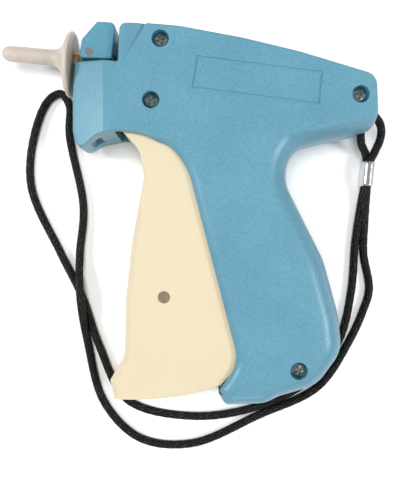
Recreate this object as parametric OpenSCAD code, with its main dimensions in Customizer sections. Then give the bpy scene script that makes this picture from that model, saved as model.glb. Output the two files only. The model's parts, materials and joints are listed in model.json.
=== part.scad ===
// Tag-attaching gun with a wrist lanyard, lying on its right side. Millimetres.
// The trigger's pivot axis is the Z axis, z = 0 is the face that it rests on,
// -X is towards the needle's point and -Y is down the handle.

/* [Casing] */
// Thickness of the two casing halves together
casing_t = 25; // [25:0.5:27]
// Wall thickness of the casing
wall = 2.3; // [2:0.1:2.4]
// Slope of the nose's two side faces, in mm of depth per mm forward
nose_slope = 0.5; // [0.45:0.01:0.52]
// Radius of each screw's counterbore
counterbore_r = 3.05; // [3:0.05:3.3]
// Depth of each screw's counterbore
counterbore_depth = 3.4; // [2.8:0.1:3.4]
// Depth of the groove around the plain side panel
panel_groove = 0.35; // [0.2:0.05:0.6]

/* [Trigger] */
// Thickness of the trigger
trigger_t = 17.8; // [17:0.1:17.8]
// Furthest turn of the trigger, in degrees
trigger_travel = 12; // [11:0.5:12]

/* [Needle] */
// Angle of the needle's line to the X axis, in degrees
needle_tilt = 5; // [4.8:0.1:5.2]
// Outer radius of the guard's tube
guard_r = 2.85; // [2.7:0.05:3]
// Radius of the guard's flange
flange_r = 11.9; // [11:0.1:12]
// Bore of the hollow needle, as a radius
needle_bore_r = 1; // [1:0.01:1.05]
// Radius of the push rod
rod_r = 0.9; // [0.9:0.01:0.94]

/* [Lanyard] */
// Diameter of the woven cord
cord_d = 3.1; // [2.8:0.1:3.1]

/* [Hidden] */
$fn = 48;

casing_blue = [0.42, 0.67, 0.78];
trigger_cream = [0.94, 0.89, 0.76];
guard_white = [0.88, 0.85, 0.8];
steel = [0.7, 0.7, 0.72];
dark_steel = [0.18, 0.26, 0.28];
brass = [0.78, 0.6, 0.32];
cord_black = [0.11, 0.1, 0.1];
rubber_black = [0.15, 0.15, 0.15];
acetal_white = [0.92, 0.92, 0.9];

mid_z = casing_t / 2;
gap = 0.3;
pin_gap = 0.05;

// Centres of the four screws. The second is the trigger's pivot.
screw_at = [[3.3, 21.4], [0, 0], [73.4, 2], [51.8, -94.8]];
boss_r = 4.6;
pivot_boss_r = 3.2;
screw_head = 1.5;
sleeve_r = 4.5;

// Corners of the casing's outline, each with its rounding radius.
casing_corners = [
    [-11.5, 13.6, 0.4], [-27.6, 15, 1], [-28.6, 5, 4], [-28.6, -10, 6],
    [-26.4, -17, 2.2], [-19.5, -12.1, 5], [-12, -10.6, 3], [8.8, -12.3, 24],
    [29.6, -92, 10], [22.7, -101.8, 1.5], [26.2, -107.8, 2.5], [40, -107.3, 20],
    [59.5, -101.6, 14], [68.7, -89, 13], [67.3, -76, 30], [61.9, -56, 30],
    [48.4, -29, 14], [48.4, -16.3, 11], [79.7, -9.1, 3], [79.1, 8.9, 5],
    [52, 17.1, 60], [32, 21.9, 60], [10, 26, 40], [-3, 27.1, 8], [-11, 27.1, 2.5]
];

// Region of the casing whose outer edges are only slightly rounded.
crisp_region = [
    [-40, 40], [100, 40], [100, -1], [50, -8], [20, -6], [-5, -14], [-40, -30]
];
// Depth from the mid-plane and inset of each step of the rounded edges.
soft_steps = [[8, 0], [9.5, 0.3], [10.7, 1], [11.7, 2], [12.5, 3.6]];
crisp_inset = 0.7;
crisp_from = 11.7;

nose_crease_x = -16.7;
// The shoulder's facet starts flush at this X and dips by this angle.
shoulder_edge_x = -12;
shoulder_dip = 11;
shoulder_region = [[-20, 40], [-20, 13.6], [-9.6, 13.6], [-2, 25.8], [6.8, 40]];
panel_corners = [[16.3, 15.1], [59.7, 9.5], [58.6, -1.4], [14.6, 4.3]];
panel_line = 0.7;

trigger_foot_r = 100;
trigger_foot_at = [-7, -5.8];
trigger_corners = [
    [-10.3, -10.4, 0.4], [-4.5, -16.8, 8], [-2.5, -26, 9], [-7, -49, 60],
    [-9.2, -70, 40], [-9.6, -90, 8], [-14.9, -99, 1.5], [-13.4, -105.6, 0.8]
];
trigger_back = [
    [24.6, -100.7, 0], [31.8, -93, 6], [32.2, -86, 8], [22.1, -49, 60],
    [15.6, -22, 8], [7, -6, 5], [4, 8, 4], [-7, 7, 4]
];
trigger_wall = 2.2;
hub_r = 6.6;
hub_t = 4.2;

// Pivots of the linkage at rest.
trigger_pin_at = [4.4, -69.3];
lever_pivot_at = [35, -46.5];
link_pin_at = [27.75, -67.3];
lever_angle = -18.06;
lever_tip_r = 63;
lever_shank = 5.5;
lever_boss_r = 2.8;
pin_r = 1.5;
loose = 1;
link_z = 11;
link_t = 3;
lever_z = 14.5;
lever_t = 3;

// Places along the needle's line, measured from x = 0.
line_y = 15.35;
rod_from = -9;
slide_from = 48;
slide_len = 8;
slide_pin_s = 53;
slide_pin_drop = 2;
slide_h = 2.8;
slide_z = 8;
slide_t = 6;
base_from = -27.5;
base_to = -19.5;
base_r = 1.6;
needle_from = -51.5;
needle_r = 1.4;
guard_tip = -56.2;
guard_back = -29.5;

cap_pin_at = [-22.2, 18.3];
cap_pin_r = 1.5;
cap_half = 8;
tongue_half = 3.5;
cap_corners = [
    [-26.1, 16.2, 1.2], [-25, 22.8, 1], [-19.5, 29.1, 1.5], [-12.8, 28.7, 2], [-14.4, 15.8, 0.6]
];

// The feed channel slants down through the nose behind the needle.
feed_top = [-12.6, 13.2];
feed_bottom = [-19.8, -11.2];
feed_half = 4.5;
feed_w = 3.2;
wheel_at = [-20.8, 5.1];
wheel_r = 4.2;
wheel_teeth = 10;
wheel_pin_r = 1.2;

// Route of the lanyard, from the tail's rear wall round to the tail's underside.
cord_hole_r = 1.9;
cord_route = [
    [78, -1.7, 12.5], [81.6, -2.8, 12.3], [84.6, -6.2, 10.8], [85.2, -10.5, 8.8],
    [83.8, -15, 6.9], [82, -19.5, 5.6], [81.2, -27, 5.4], [81, -34, 4.2],
    [81, -43, 2.2], [80.8, -54, 1.6], [83, -68, 1.6], [80.8, -76, 1.6],
    [74.8, -89, 1.6], [63, -106, 1.6], [40, -117, 1.6], [14, -128, 1.6],
    [-6, -126, 1.6], [-20, -112, 1.6], [-26.5, -88, 2.2], [-28.8, -70.5, 4.8],
    [-29.5, -55, 2.2], [-28.2, -36, 1.6], [-33.6, -8, 1.6], [-33.7, 3.6, 1.6],
    [-36.9, 8, 1.6], [-41.6, 5.6, 1.6], [-47, -7, 1.6], [-48.5, -28, 1.6],
    [-37, -54, 1.6], [-28.8, -70.5, 1.6], [-22, -90, 1.6], [-11, -111, 1.6],
    [14, -117.4, 1.6], [40, -113.5, 1.6], [60.3, -102.8, 1.6], [71.4, -87.5, 1.6],
    [76, -69, 1.6], [77.6, -50, 1.6], [79.6, -36, 1.9], [81.1, -27, 2.5],
    [81.8, -19.5, 2.6], [80.6, -16, 5.2], [77.7, -12.6, 9.6], [76.8, -8.4, 12.3], [76.8, -6, 12.5]
];
ferrule_top = [81.95, -19.1];
ferrule_bottom = [81.05, -28.4];
ferrule_r = 2.4;
ferrule_low = 2.5;
ferrule_high = 5.5;

// ---- functions ----
function unit(v) = v / norm(v);
function fillet(a, b, c, r, n) =
    let (
        u = unit(a - b),
        v = unit(c - b),
        half = acos(u * v) / 2,
        centre = b + unit(u + v) * r / sin(half),
        p = b + u * r / tan(half) - centre,
        q = b + v * r / tan(half) - centre,
        start = atan2(p.y, p.x),
        turn = (atan2(q.y, q.x) - start + 540) % 360 - 180
    )
    [for (i = [0:n]) centre + r * [cos(start + turn * i / n), sin(start + turn * i / n)]];
function flat(p) = [p.x, p.y];
function rounded(c) =
    [for (i = [0:len(c) - 1])
        let (a = flat(c[(i + len(c) - 1) % len(c)]), b = flat(c[i]), d = flat(c[(i + 1) % len(c)]))
        each (c[i].z > 0 ? fillet(a, b, d, c[i].z, c[i].z > 10 ? 4 : 5) : [b])];
function on_line(s, drop = 0) =
    [s * cos(needle_tilt) - drop * sin(needle_tilt), line_y - s * sin(needle_tilt) - drop * cos(needle_tilt)];

// A smooth curve through the route's points, with even steps in each stretch.
function spline(p, i, t) =
    let (
        a = p[max(i - 1, 0)],
        b = p[i],
        c = p[i + 1],
        d = p[min(i + 2, len(p) - 1)],
        ab = sqrt(norm(b - a) + 0.01),
        bc = sqrt(norm(c - b)),
        cd = sqrt(norm(d - c) + 0.01),
        m = (c - b) + bc * ((b - a) / ab - (c - a) / (ab + bc)),
        n = (c - b) + bc * ((d - c) / cd - (d - b) / (bc + cd))
    )
    b + m * t + (3 * (c - b) - 2 * m - n) * t * t + (2 * (b - c) + m + n) * t * t * t;
function ring(at, way, r, sides) =
    let (side = unit(cross(way, [0, 0, 1])), up = cross(side, way))
    [for (k = [0:sides - 1])
        at + r * (cos(360 * (k + 0.5) / sides) * side + sin(360 * (k + 0.5) / sides) * up)];

// ---- shared shapes ----
module casing_2d() {
    polygon(rounded(casing_corners));
}

module trigger_2d() {
    foot = [
        for (a = [-92:3:-73])
            [trigger_foot_at.x + trigger_foot_r * cos(a), trigger_foot_at.y + trigger_foot_r * sin(a), 0]
    ];
    polygon(rounded(concat(trigger_corners, foot, trigger_back)));
}

module trigger_sweep_2d() {
    for (a = [0:1.5:trigger_travel + 0.5]) {
        rotate(a) offset(delta = 0.5) trigger_2d();
    }
}

// Places children along the needle's line, with local X pointing to the rear.
module along_needle() {
    translate([0, line_y, mid_z]) rotate([0, 0, -needle_tilt]) children();
}

module rod_along(from, to, r) {
    translate([from, 0, 0]) rotate([0, 90, 0]) cylinder(h = to - from, r = r);
}

// A slab that slopes with the nose, offset inward by depth.
module nose_wedge(depth) {
    far = 40;
    height = casing_t / 2 - depth;
    translate([0, 40, 0]) rotate([90, 0, 0]) linear_extrude(80)
        polygon([
            [nose_crease_x, height], [nose_crease_x - far, height - far * nose_slope],
            [nose_crease_x - far, 30], [nose_crease_x, 30]
        ]);
}

module slanted(a, b, w) {
    d = b - a;
    translate(a) rotate(atan2(d.y, d.x)) translate([0, -w / 2]) square([norm(d), w]);
}

// ---- casing ----
module outer_half() {
    start = [0, for (s = soft_steps) s[0]];
    for (i = [0:len(soft_steps) - 1]) {
        translate([0, 0, start[i]]) linear_extrude(soft_steps[i][0] - start[i])
            offset(delta = -soft_steps[i][1]) casing_2d();
    }
    linear_extrude(crisp_from) intersection() {
        casing_2d();
        polygon(crisp_region);
    }
    linear_extrude(casing_t / 2) intersection() {
        offset(delta = -crisp_inset) casing_2d();
        polygon(crisp_region);
    }
}

module tongue_2d() {
    hull() {
        translate(cap_pin_at) circle(r = 3.3);
        translate([-25.5, 13]) square([9, 2.5]);
    }
}

module cavity_half() {
    difference() {
        linear_extrude(casing_t / 2 - wall) {
            offset(delta = -wall) casing_2d();
            trigger_sweep_2d();
        }
        nose_wedge(wall);
    }
}

module bosses_half() {
    floor_w = casing_t / 2 - wall;
    for (i = [0, 2, 3]) {
        translate(screw_at[i]) cylinder(h = floor_w + 0.1, r = boss_r);
    }
    cylinder(h = floor_w + 0.1, r = pivot_boss_r);
    translate([0, 0, trigger_t / 2 + 0.1]) cylinder(h = floor_w - trigger_t / 2, r = 5.2);
    translate([each lever_pivot_at, lever_z + lever_t + 0.3 - mid_z])
        cylinder(h = floor_w - (lever_z + lever_t + 0.3 - mid_z) + 0.1, r = lever_boss_r);
    translate([each wheel_at, 2.4]) cylinder(h = 6.2, r = 2.3);
}

// One half, with Z measured outward from the mid-plane.
module half_shell() {
    difference() {
        union() {
            difference() {
                outer_half();
                translate([0, 0, -0.01]) cavity_half();
            }
            bosses_half();
            linear_extrude(tongue_half) tongue_2d();
        }
        nose_wedge(0);
        translate([0, 0, -mid_z]) along_needle() {
            rod_along(base_from - 3, base_to, base_r + 0.05);
            rod_along(base_to - 1, 20, 1.3);
        }
        translate([0, 0, -1]) linear_extrude(feed_half + 0.1 + 1)
            slanted(feed_top + [1.5, 5], feed_bottom - [1.5, 5], feed_w + 0.3);
        translate([each lever_pivot_at, -1]) cylinder(h = 10, r = pin_r);
        translate([each wheel_at, -1]) cylinder(h = 6, r = wheel_pin_r);
        translate([each cap_pin_at, tongue_half - 1]) cylinder(h = 2, r = cap_pin_r);
        translate([74, -1.8, 0]) rotate([0, 90, 0]) cylinder(h = 8, r = cord_hole_r);
        translate([76.8, -4, 0]) rotate([90, 0, 0]) cylinder(h = 8, r = cord_hole_r);
        shoulder_cut();
    }
}

// The facet behind the needle lock, which dips towards a step up to the side face.
module shoulder_cut() {
    intersection() {
        translate([shoulder_edge_x, 0, casing_t / 2]) rotate([0, shoulder_dip, 0]) cube([30, 40, 20]);
        linear_extrude(30) polygon(shoulder_region);
    }
}

module panel_ring_2d() {
    difference() {
        offset(delta = panel_line / 2) polygon(panel_corners);
        offset(delta = -panel_line / 2) polygon(panel_corners);
    }
}

module left_casing() {
    color(casing_blue) translate([0, 0, mid_z]) difference() {
        half_shell();
        for (p = screw_at) {
            translate([each p, casing_t / 2 - counterbore_depth]) cylinder(h = 5, r = counterbore_r);
            translate([each p, -1]) cylinder(h = 20, r = 1.35);
        }
        translate([0, 0, casing_t / 2 - panel_groove]) linear_extrude(2) panel_ring_2d();
    }
}

module slide_rails() {
    translate([0, line_y, 2]) rotate([0, 0, -needle_tilt])
        for (y = [slide_h + gap, -slide_h - gap - 1.2]) {
            translate([8, y, 0]) cube([52, 1.2, mid_z - 2]);
        }
}

module right_casing() {
    color(casing_blue) difference() {
        union() {
            translate([0, 0, mid_z]) mirror([0, 0, 1]) half_shell();
            intersection() {
                slide_rails();
                linear_extrude(mid_z) offset(delta = -1) casing_2d();
            }
        }
        for (p = screw_at) {
            translate([each p, 5]) cylinder(h = 20, r = 1.2);
        }
    }
}

module screw() {
    difference() {
        union() {
            translate([0, 0, casing_t - counterbore_depth]) cylinder(h = screw_head, r = 2.85);
            translate([0, 0, 5]) cylinder(h = casing_t - counterbore_depth - 5, r = 1.2);
        }
        for (a = [0, 90]) {
            rotate(a) translate([-1.7, -0.35, casing_t - counterbore_depth + screw_head - 0.9])
                cube([3.4, 0.7, 3]);
        }
    }
}

module casing_screws() {
    color(dark_steel) for (p = screw_at) {
        translate(p) rotate(20) screw();
    }
}

// ---- trigger and linkage ----
// Room in the trigger's rear edge for the lever's pivot when it is squeezed.
module lever_relief_2d() {
    hull() for (a = [0, trigger_travel + 0.5]) {
        rotate(-a) translate(lever_pivot_at) circle(r = lever_boss_r + 0.5);
    }
}

module trigger() {
    low = mid_z - trigger_t / 2;
    color(trigger_cream) difference() {
        union() {
            difference() {
                translate([0, 0, low]) linear_extrude(trigger_t) trigger_2d();
                translate([0, 0, low + trigger_wall]) linear_extrude(trigger_t - 2 * trigger_wall) {
                    offset(delta = -2.5) trigger_2d();
                    translate([7, 0]) offset(delta = -2.5) trigger_2d();
                    circle(r = hub_r + 1.5);
                }
            }
            for (z = [low, low + trigger_t - hub_t]) {
                translate([0, 0, z]) cylinder(h = hub_t, r = hub_r);
            }
        }
        translate([0, 0, -1]) cylinder(h = 30, r = sleeve_r + pin_gap);
        translate([each trigger_pin_at, -1]) cylinder(h = 30, r = 2.2);
        translate([0, 0, -1]) linear_extrude(30) lever_relief_2d();
    }
}

module trigger_pivot_sleeve() {
    height = trigger_t - 0.2;
    color(steel) translate([0, 0, mid_z - height / 2]) difference() {
        cylinder(h = height, r = sleeve_r);
        translate([0, 0, -1]) cylinder(h = height + 2, r = pivot_boss_r);
    }
}

module trigger_pin() {
    color(steel) translate([each trigger_pin_at, mid_z - trigger_t / 2]) cylinder(h = trigger_t, r = 2.2);
}

module link() {
    color(steel) translate([0, 0, link_z]) linear_extrude(link_t) difference() {
        union() {
            translate(trigger_pin_at) circle(r = 4.4);
            translate(link_pin_at) circle(r = 4);
            slanted(trigger_pin_at, link_pin_at, 5);
        }
        translate(trigger_pin_at) circle(r = 2.2 + pin_gap);
        translate(link_pin_at) circle(r = pin_r + loose);
    }
}

module link_pin() {
    color(steel) translate([each link_pin_at, link_z - 1.5]) cylinder(h = lever_z + lever_t - link_z + 1.5, r = pin_r);
}

module drive_lever() {
    fork = pin_r + loose;
    color(steel) translate([0, 0, lever_z]) linear_extrude(lever_t) difference() {
        union() {
            translate(lever_pivot_at) circle(r = 4.5);
            translate(link_pin_at) circle(r = 3.2);
            slanted(lever_pivot_at, link_pin_at, 5);
            translate(lever_pivot_at) rotate(lever_angle) {
                translate([-lever_shank / 2, 0]) square([lever_shank, 52]);
                intersection() {
                    translate([-4, 50]) square([8, lever_tip_r - 50]);
                    circle(r = lever_tip_r, $fn = 120);
                }
            }
        }
        translate(lever_pivot_at) circle(r = pin_r + pin_gap);
        translate(link_pin_at) circle(r = pin_r);
        translate(lever_pivot_at) rotate(lever_angle) translate([-fork, 55]) square([2 * fork, 12]);
    }
}

module lever_pin() {
    color(steel) translate([each lever_pivot_at, 4]) cylinder(h = 17, r = pin_r);
}

module slide_block() {
    color(acetal_white) difference() {
        along_needle() translate([slide_from, -slide_h, slide_z - mid_z])
            cube([slide_len, 2 * slide_h, slide_t]);
        along_needle() rod_along(slide_from - 1, slide_from + 3, rod_r);
        translate([each on_line(slide_pin_s, slide_pin_drop / 2), slide_z - 1]) cylinder(h = 20, r = 1.2);
    }
}

module slide_pin() {
    color(steel) translate([each on_line(slide_pin_s, slide_pin_drop / 2), slide_z + 0.5])
        cylinder(h = lever_z + lever_t - slide_z, r = 1.2);
}

module push_rod() {
    color(steel) along_needle() rod_along(rod_from, slide_from + 3, rod_r);
}

module slide_bumper() {
    color(rubber_black) along_needle() translate([slide_from + slide_len + gap, -2.4, slide_z - mid_z])
        cube([2.2, 4.8, 4.4]);
}

// A torsion coil: a tube whose outside is scalloped turn by turn, with a leg at each end.
module return_spring() {
    wire = 0.6;
    turns = 5;
    pitch = 2 * wire;
    inner = sleeve_r + gap;
    outer = inner + 2 * wire;
    crests = [
        for (i = [0:turns - 1])
            each [[outer - 0.3, pitch * (i + 0.05)], [outer, pitch * (i + 0.35)],
                [outer, pitch * (i + 0.65)], [outer - 0.3, pitch * (i + 0.95)]]
    ];
    top = pitch * turns;
    color(steel) translate([0, 0, mid_z - top / 2]) {
        rotate_extrude() polygon(concat([[inner, 0]], crests, [[inner, top]]));
        translate([0, -inner - wire, top - wire]) rotate([0, 90, 0]) cylinder(h = 14, r = wire);
        translate([inner + wire, 0, wire]) rotate([90, 0, 0]) cylinder(h = 14, r = wire);
    }
}

// ---- feed ----
module feed_guide() {
    side = 0.8;
    color(acetal_white) difference() {
        translate([0, 0, mid_z - feed_half]) linear_extrude(2 * feed_half)
            slanted(feed_top, feed_bottom, feed_w);
        translate([0, 0, mid_z - feed_half + side]) linear_extrude(2 * (feed_half - side))
            translate([-side, 0]) slanted(feed_top + [1.5, 5], feed_bottom - [1.5, 5], feed_w);
    }
}

module feed_wheel() {
    color(acetal_white) translate([each wheel_at, mid_z - 2]) linear_extrude(4) difference() {
        union() {
            circle(r = wheel_r - 1);
            for (i = [0:wheel_teeth - 1]) {
                rotate(360 * i / wheel_teeth) translate([0, -0.5]) square([wheel_r - 0.05, 1]);
            }
        }
        circle(r = wheel_pin_r + pin_gap);
    }
}

module feed_wheel_pin() {
    color(steel) translate([each wheel_at, mid_z - 5]) cylinder(h = 10, r = wheel_pin_r);
}

module feed_pawl() {
    color(steel) translate([0, 0, mid_z - 2]) linear_extrude(4)
        slanted([-26.06, -5], [-23.6, 0.9], 0.5);
}

module cutter_blade() {
    color(steel) translate([0, 0, mid_z - 2.5]) linear_extrude(5)
        polygon([[-19, 9.7], [-15.4, 9.7], [-15.4, 10.1], [-16.5, 10.7], [-19, 10.7]]);
}

// ---- needle ----
module needle() {
    color(steel) along_needle() difference() {
        rod_along(needle_from, base_to, needle_r);
        rod_along(needle_from - 1, base_to + 1, needle_bore_r);
        translate([needle_from - 1, -0.3, 0]) cube([base_from - needle_from, 0.6, 3]);
        translate([needle_from, 0, -needle_r]) rotate([0, 35, 0]) translate([-6, -3, -3]) cube([6, 6, 12]);
    }
}

module needle_base() {
    color(brass) along_needle() difference() {
        union() {
            rod_along(base_from, base_to, base_r);
            rod_along(guard_back + 0.2, base_from, 2.4);
        }
        rod_along(guard_back, base_to + 1, needle_r);
    }
}

module needle_guard() {
    drop = 2.2;
    color(guard_white) along_needle() difference() {
        union() {
            translate([guard_tip + guard_r, 0, 0]) sphere(r = guard_r);
            rod_along(guard_tip + guard_r, guard_back, guard_r);
            translate([guard_back - 5.5, 0, 0]) rotate([0, 90, 0]) cylinder(h = 4.5, r1 = guard_r, r2 = 5.5);
            translate([guard_back - 2.4, -drop, 0]) rotate([0, 90, 0]) cylinder(h = 1, r1 = 8.5, r2 = flange_r);
            translate([guard_back - 1.4, -drop, 0]) rotate([0, 90, 0]) cylinder(h = 1.4, r = flange_r);
        }
        rod_along(needle_from - 1.5, guard_back + 1, needle_r + gap);
    }
}

module needle_lock_cap() {
    color(casing_blue) translate([0, 0, mid_z - cap_half]) difference() {
        linear_extrude(2 * cap_half) polygon(rounded(cap_corners));
        translate([-31, 10, cap_half - tongue_half - gap]) cube([14.8, 13.2, 2 * (tongue_half + gap)]);
        translate([-31, 10, cap_half - tongue_half - gap]) cube([25, 8.6, 2 * (tongue_half + gap)]);
        translate([each cap_pin_at, -1]) cylinder(h = 20, r = cap_pin_r + pin_gap);
    }
}

module lock_pins() {
    inner = tongue_half - 0.9;
    color(steel) for (side = [0, 1]) {
        translate([each cap_pin_at, mid_z]) mirror([0, 0, side])
            translate([0, 0, inner]) cylinder(h = cap_half - inner - 0.1, r = cap_pin_r);
    }
}

// ---- lanyard ----
module lanyard_cord() {
    sides = 8;
    last = len(cord_route) - 1;
    steps = [for (i = [0:last - 1]) max(1, round(norm(cord_route[i + 1] - cord_route[i]) / 7.6))];
    path = [
        for (i = [0:last - 1]) for (k = [0:steps[i] - 1]) spline(cord_route, i, k / steps[i]),
        cord_route[last]
    ];
    n = len(path);
    rings = [
        for (i = [0:n - 1])
            each ring(path[i], unit(path[min(i + 1, n - 1)] - path[max(i - 1, 0)]), cord_d / 2, sides)
    ];
    tube = [
        for (i = [0:n - 2]) for (k = [0:sides - 1])
            let (a = i * sides + k, b = i * sides + (k + 1) % sides)
            each [[a, b, b + sides], [a, b + sides, a + sides]]
    ];
    ends = [[for (k = [0:sides - 1]) sides - 1 - k], [for (k = [0:sides - 1]) (n - 1) * sides + k]];
    color(cord_black) polyhedron(points = rings, faces = concat(tube, ends), convexity = 10);
}

module lanyard_ferrule() {
    way = ferrule_bottom - ferrule_top;
    tall = ferrule_high - ferrule_low;
    color(steel) translate([each ferrule_top, ferrule_low]) rotate([90, 0, atan2(way.y, way.x) + 90])
        difference() {
            union() {
                for (z = [0, tall]) {
                    translate([0, z, 0]) cylinder(h = norm(way), r = ferrule_r);
                }
                translate([-ferrule_r, 0, 0]) cube([2 * ferrule_r, tall, norm(way)]);
            }
            for (z = [0, tall]) {
                translate([0, z, -1]) cylinder(h = norm(way) + 2, r = cord_d / 2 + 0.1);
            }
        }
}

left_casing();
right_casing();
trigger();
trigger_pivot_sleeve();
trigger_pin();
link();
link_pin();
drive_lever();
lever_pin();
slide_block();
slide_pin();
push_rod();
slide_bumper();
return_spring();
feed_guide();
feed_wheel();
feed_wheel_pin();
feed_pawl();
cutter_blade();
needle();
needle_base();
needle_guard();
needle_lock_cap();
lock_pins();
casing_screws();
lanyard_cord();
lanyard_ferrule();
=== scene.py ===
"""Looks of the tag-attaching gun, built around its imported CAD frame. The tables are in millimetres."""
import json
import math

import bmesh
import bpy
import numpy as np
from mathutils import Matrix, Vector
from mathutils.geometry import convex_hull_2d, delaunay_2d_cdt


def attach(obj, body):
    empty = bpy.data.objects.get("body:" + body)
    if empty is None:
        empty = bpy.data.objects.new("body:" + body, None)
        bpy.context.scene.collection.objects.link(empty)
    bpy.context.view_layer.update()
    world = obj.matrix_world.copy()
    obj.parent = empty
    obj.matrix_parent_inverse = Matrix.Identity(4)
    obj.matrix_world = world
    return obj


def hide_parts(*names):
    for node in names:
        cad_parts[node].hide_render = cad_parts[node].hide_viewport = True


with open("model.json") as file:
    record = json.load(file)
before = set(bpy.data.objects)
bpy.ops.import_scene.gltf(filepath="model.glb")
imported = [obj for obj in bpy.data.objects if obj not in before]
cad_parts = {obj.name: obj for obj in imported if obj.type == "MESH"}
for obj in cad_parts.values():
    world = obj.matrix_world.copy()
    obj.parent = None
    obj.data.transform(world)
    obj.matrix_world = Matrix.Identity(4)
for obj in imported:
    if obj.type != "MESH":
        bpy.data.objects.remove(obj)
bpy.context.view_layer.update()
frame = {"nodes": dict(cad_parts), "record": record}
MM = 0.001

# ---- sizes shared with the CAD model ----
CASING_T = 25.0
MID_Z = CASING_T / 2
WALL = 2.3
CASING_CORNERS = [
    (-11.5, 13.6, 0.4), (-27.6, 15, 1), (-28.6, 5, 4), (-28.6, -10, 6),
    (-26.4, -17, 2.2), (-19.5, -12.1, 5), (-12, -10.6, 3), (8.8, -12.3, 24),
    (29.6, -92, 10), (22.7, -101.8, 1.5), (26.2, -107.8, 2.5), (40, -107.3, 20),
    (59.5, -101.6, 14), (68.7, -89, 13), (67.3, -76, 30), (61.9, -56, 30),
    (48.4, -29, 14), (48.4, -16.3, 11), (79.7, -9.1, 3), (79.1, 8.9, 5),
    (52, 17.1, 60), (32, 21.9, 60), (10, 26, 40), (-3, 27.1, 8), (-11, 27.1, 2.5),
]
SCREWS = [(3.3, 21.4), (0.0, 0.0), (73.4, 2.0), (51.8, -94.8)]
COUNTERBORE_R = 3.05
COUNTERBORE_DEPTH = 3.4
PANEL = [(16.3, 15.1, 0), (59.7, 9.5, 0), (58.6, -1.4, 0), (14.6, 4.3, 0)]
PANEL_LINE = 0.7
PANEL_GROOVE = 0.35
LINE_Y = 15.35
NEEDLE_TILT = math.radians(5)
CAP_PIN = (-22.2, 18.3)
CAP_CORNERS = [
    (-26.1, 16.2, 1.2), (-25, 22.8, 1), (-19.5, 29.1, 1.5), (-12.8, 28.7, 2), (-14.4, 15.8, 0.6),
]
TRIGGER_PIN = (4.4, -69.3)
LEVER_PIVOT = (35, -46.5)
TRIGGER_HALF = 8.9
TRIGGER_FRONT = [
    (-10.3, -10.4, 0.4), (-4.5, -16.8, 8), (-2.5, -26, 9), (-7, -49, 60),
    (-9.2, -70, 40), (-9.6, -90, 8), (-14.9, -99, 1.5), (-13.4, -105.6, 0.8),
]
TRIGGER_BACK = [
    (24.6, -100.7, 0), (31.8, -93, 6), (32.2, -86, 8), (22.1, -49, 60),
    (15.6, -22, 8), (7, -6, 5), (4, 8, 4), (-7, 7, 4),
]
FERRULE_TOP = (81.95, -19.1)
FERRULE_BOTTOM = (81.05, -28.4)
CORD_D = 3.1
CORD_ROUTE = [
    (78, -1.7, 12.5), (81.6, -2.8, 12.3), (84.6, -6.2, 10.8), (85.2, -10.5, 8.8),
    (83.8, -15, 6.9), (82, -19.5, 5.6), (81.2, -27, 5.4), (81, -34, 4.2),
    (81, -43, 2.2), (80.8, -54, 1.6), (83, -68, 1.6), (80.8, -76, 1.6),
    (74.8, -89, 1.6), (63, -106, 1.6), (40, -117, 1.6), (14, -128, 1.6),
    (-6, -126, 1.6), (-20, -112, 1.6), (-26.5, -88, 2.2), (-28.8, -70.5, 4.8),
    (-29.5, -55, 2.2), (-28.2, -36, 1.6), (-33.6, -8, 1.6), (-33.7, 3.6, 1.6),
    (-36.9, 8, 1.6), (-41.6, 5.6, 1.6), (-47, -7, 1.6), (-48.5, -28, 1.6),
    (-37, -54, 1.6), (-28.8, -70.5, 1.6), (-22, -90, 1.6), (-11, -111, 1.6),
    (14, -117.4, 1.6), (40, -113.5, 1.6), (60.3, -102.8, 1.6), (71.4, -87.5, 1.6),
    (76, -69, 1.6), (77.6, -50, 1.6), (79.6, -36, 1.9), (81.1, -27, 2.5),
    (81.8, -19.5, 2.6), (80.6, -16, 5.2), (77.7, -12.6, 9.6), (76.8, -8.4, 12.3), (76.8, -6, 12.5),
]


# ---- camera, light and floor ----
CAMERA_AT = (17.2, -49.5, 225)
SENSOR_W = 36
IMAGE_W = 400
# The image's scale at the casing's mid-plane, in pixels for each millimetre.
SCALE_AT_MID = 2.7
WORLD_STRENGTH = 0.28
LAMP_AIM = (0.015, -0.045, 0.01)
# Each lamp's name, place and size in metres, its watts, and whether it shows in reflections.
LAMPS = [
    ("overhead", (-0.06, 0.03, 0.8), 0.34, 3.95, False),
    ("left_fill", (-0.5, 0.05, 0.4), 0.11, 1.8, True),
    ("right_fill", (0.43, -0.13, 0.42), 0.13, 1.3, True),
    ("near_fill", (0.05, -0.65, 0.35), 0.2, 0.6, True),
]
FLOOR_SIZE = 3
# The floor lies this far under the gun, in metres, so that no faces coincide.
FLOOR_GAP = 0.0001


def camera():
    data = bpy.data.cameras.new("camera")
    data.sensor_fit = "HORIZONTAL"
    data.sensor_width = SENSOR_W
    data.lens = SENSOR_W * SCALE_AT_MID * (CAMERA_AT[2] - MID_Z) / IMAGE_W
    data.clip_start = 0.01
    eye = bpy.data.objects.new("camera", data)
    eye.location = Vector(CAMERA_AT) * MM
    bpy.context.collection.objects.link(eye)
    bpy.context.scene.camera = eye


def area_light(name, at, size, watts, glossy):
    data = bpy.data.lights.new(name, "AREA")
    data.size = size
    data.energy = watts
    lamp = bpy.data.objects.new(name, data)
    lamp.location = at
    lamp.rotation_euler = (Vector(LAMP_AIM) - Vector(at)).to_track_quat("-Z", "Y").to_euler()
    lamp.visible_glossy = glossy
    bpy.context.collection.objects.link(lamp)


def studio():
    scene = bpy.context.scene
    scene.view_settings.view_transform = "Standard"
    world = bpy.data.worlds.new("studio")
    scene.world = world
    world.use_nodes = True
    background = world.node_tree.nodes["Background"]
    background.inputs["Color"].default_value = (1, 1, 1, 1)
    background.inputs["Strength"].default_value = WORLD_STRENGTH
    for lamp in LAMPS:
        area_light(*lamp)


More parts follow.
